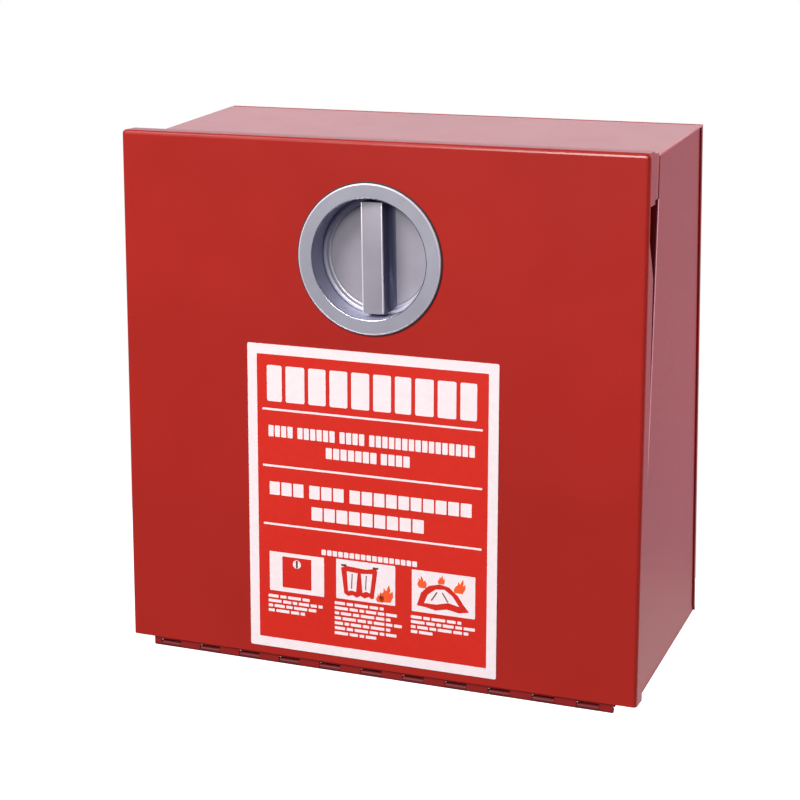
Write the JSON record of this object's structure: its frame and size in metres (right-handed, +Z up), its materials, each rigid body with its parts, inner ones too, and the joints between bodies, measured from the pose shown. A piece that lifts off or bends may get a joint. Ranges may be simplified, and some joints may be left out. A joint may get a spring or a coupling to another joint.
{
  "type": "fire blanket cabinet",
  "caption": "Red sheet-steel wall cabinet holding a folded glass-cloth fire blanket, with a drop-down door on a strip hinge and a recessed turn latch.",
  "frame": {"origin": "centre of the cabinet's flat back face, which lies against the wall", "axes": "+Z up, +Y into the wall, so the door faces -Y; +X to the right for someone facing the door"},
  "size_m": [0.3126, 0.1487, 0.311],
  "materials": {
    "red_enamel": "glossy baked red enamel on sheet steel",
    "zinc_steel": "bright zinc-plated steel",
    "cast_metal": "satin silver-grey lacquered casting",
    "black_rubber": "matt black rubber",
    "label_film": "printed self-adhesive vinyl film, red and white",
    "glass_cloth": "off-white woven glass cloth",
    "tape_webbing": "black woven tape"
  },
  "bodies": {
    "cabinet": {"top_panel": "red_enamel", "bottom_panel": "red_enamel", "side_panel_left": "red_enamel", "side_panel_right": "red_enamel", "back_panel": "red_enamel", "cabinet_hinge_leaf": "red_enamel", "hinge_pin": "zinc_steel", "hinge_rivet_1": "zinc_steel", "hinge_rivet_2": "zinc_steel", "hinge_rivet_3": "zinc_steel", "hinge_rivet_4": "zinc_steel", "hinge_rivet_5": "zinc_steel", "hinge_rivet_6": "zinc_steel", "blanket": "glass_cloth", "pull_tape_left": "tape_webbing", "pull_tape_right": "tape_webbing"},
    "door": {"door_panel": "red_enamel", "door_hinge_leaf": "red_enamel", "door_buffer_left": "black_rubber", "door_buffer_right": "black_rubber", "label": "label_film", "latch_housing": "cast_metal", "latch_gasket": "black_rubber", "latch_ring_nut": "zinc_steel"},
    "latch": {"latch_rotor": "cast_metal", "latch_friction_washer": "zinc_steel", "latch_cam": "zinc_steel", "latch_cam_washer": "zinc_steel", "latch_cam_screw": "zinc_steel"}
  },
  "joints": [
    {"name": "door_hinge", "type": "hinge", "parent": "cabinet", "child": "door", "pos_m": [0, -0.1457, -0.153], "axis": [1, 0, 0], "range_deg": [-3.1, 175]},
    {"name": "latch_turn", "type": "hinge", "parent": "door", "child": "latch", "pos_m": [-0.0048, -0.13324, 0.0906], "axis": [0, 0.9979, -0.0642], "range_deg": [0, 90]}
  ]
}
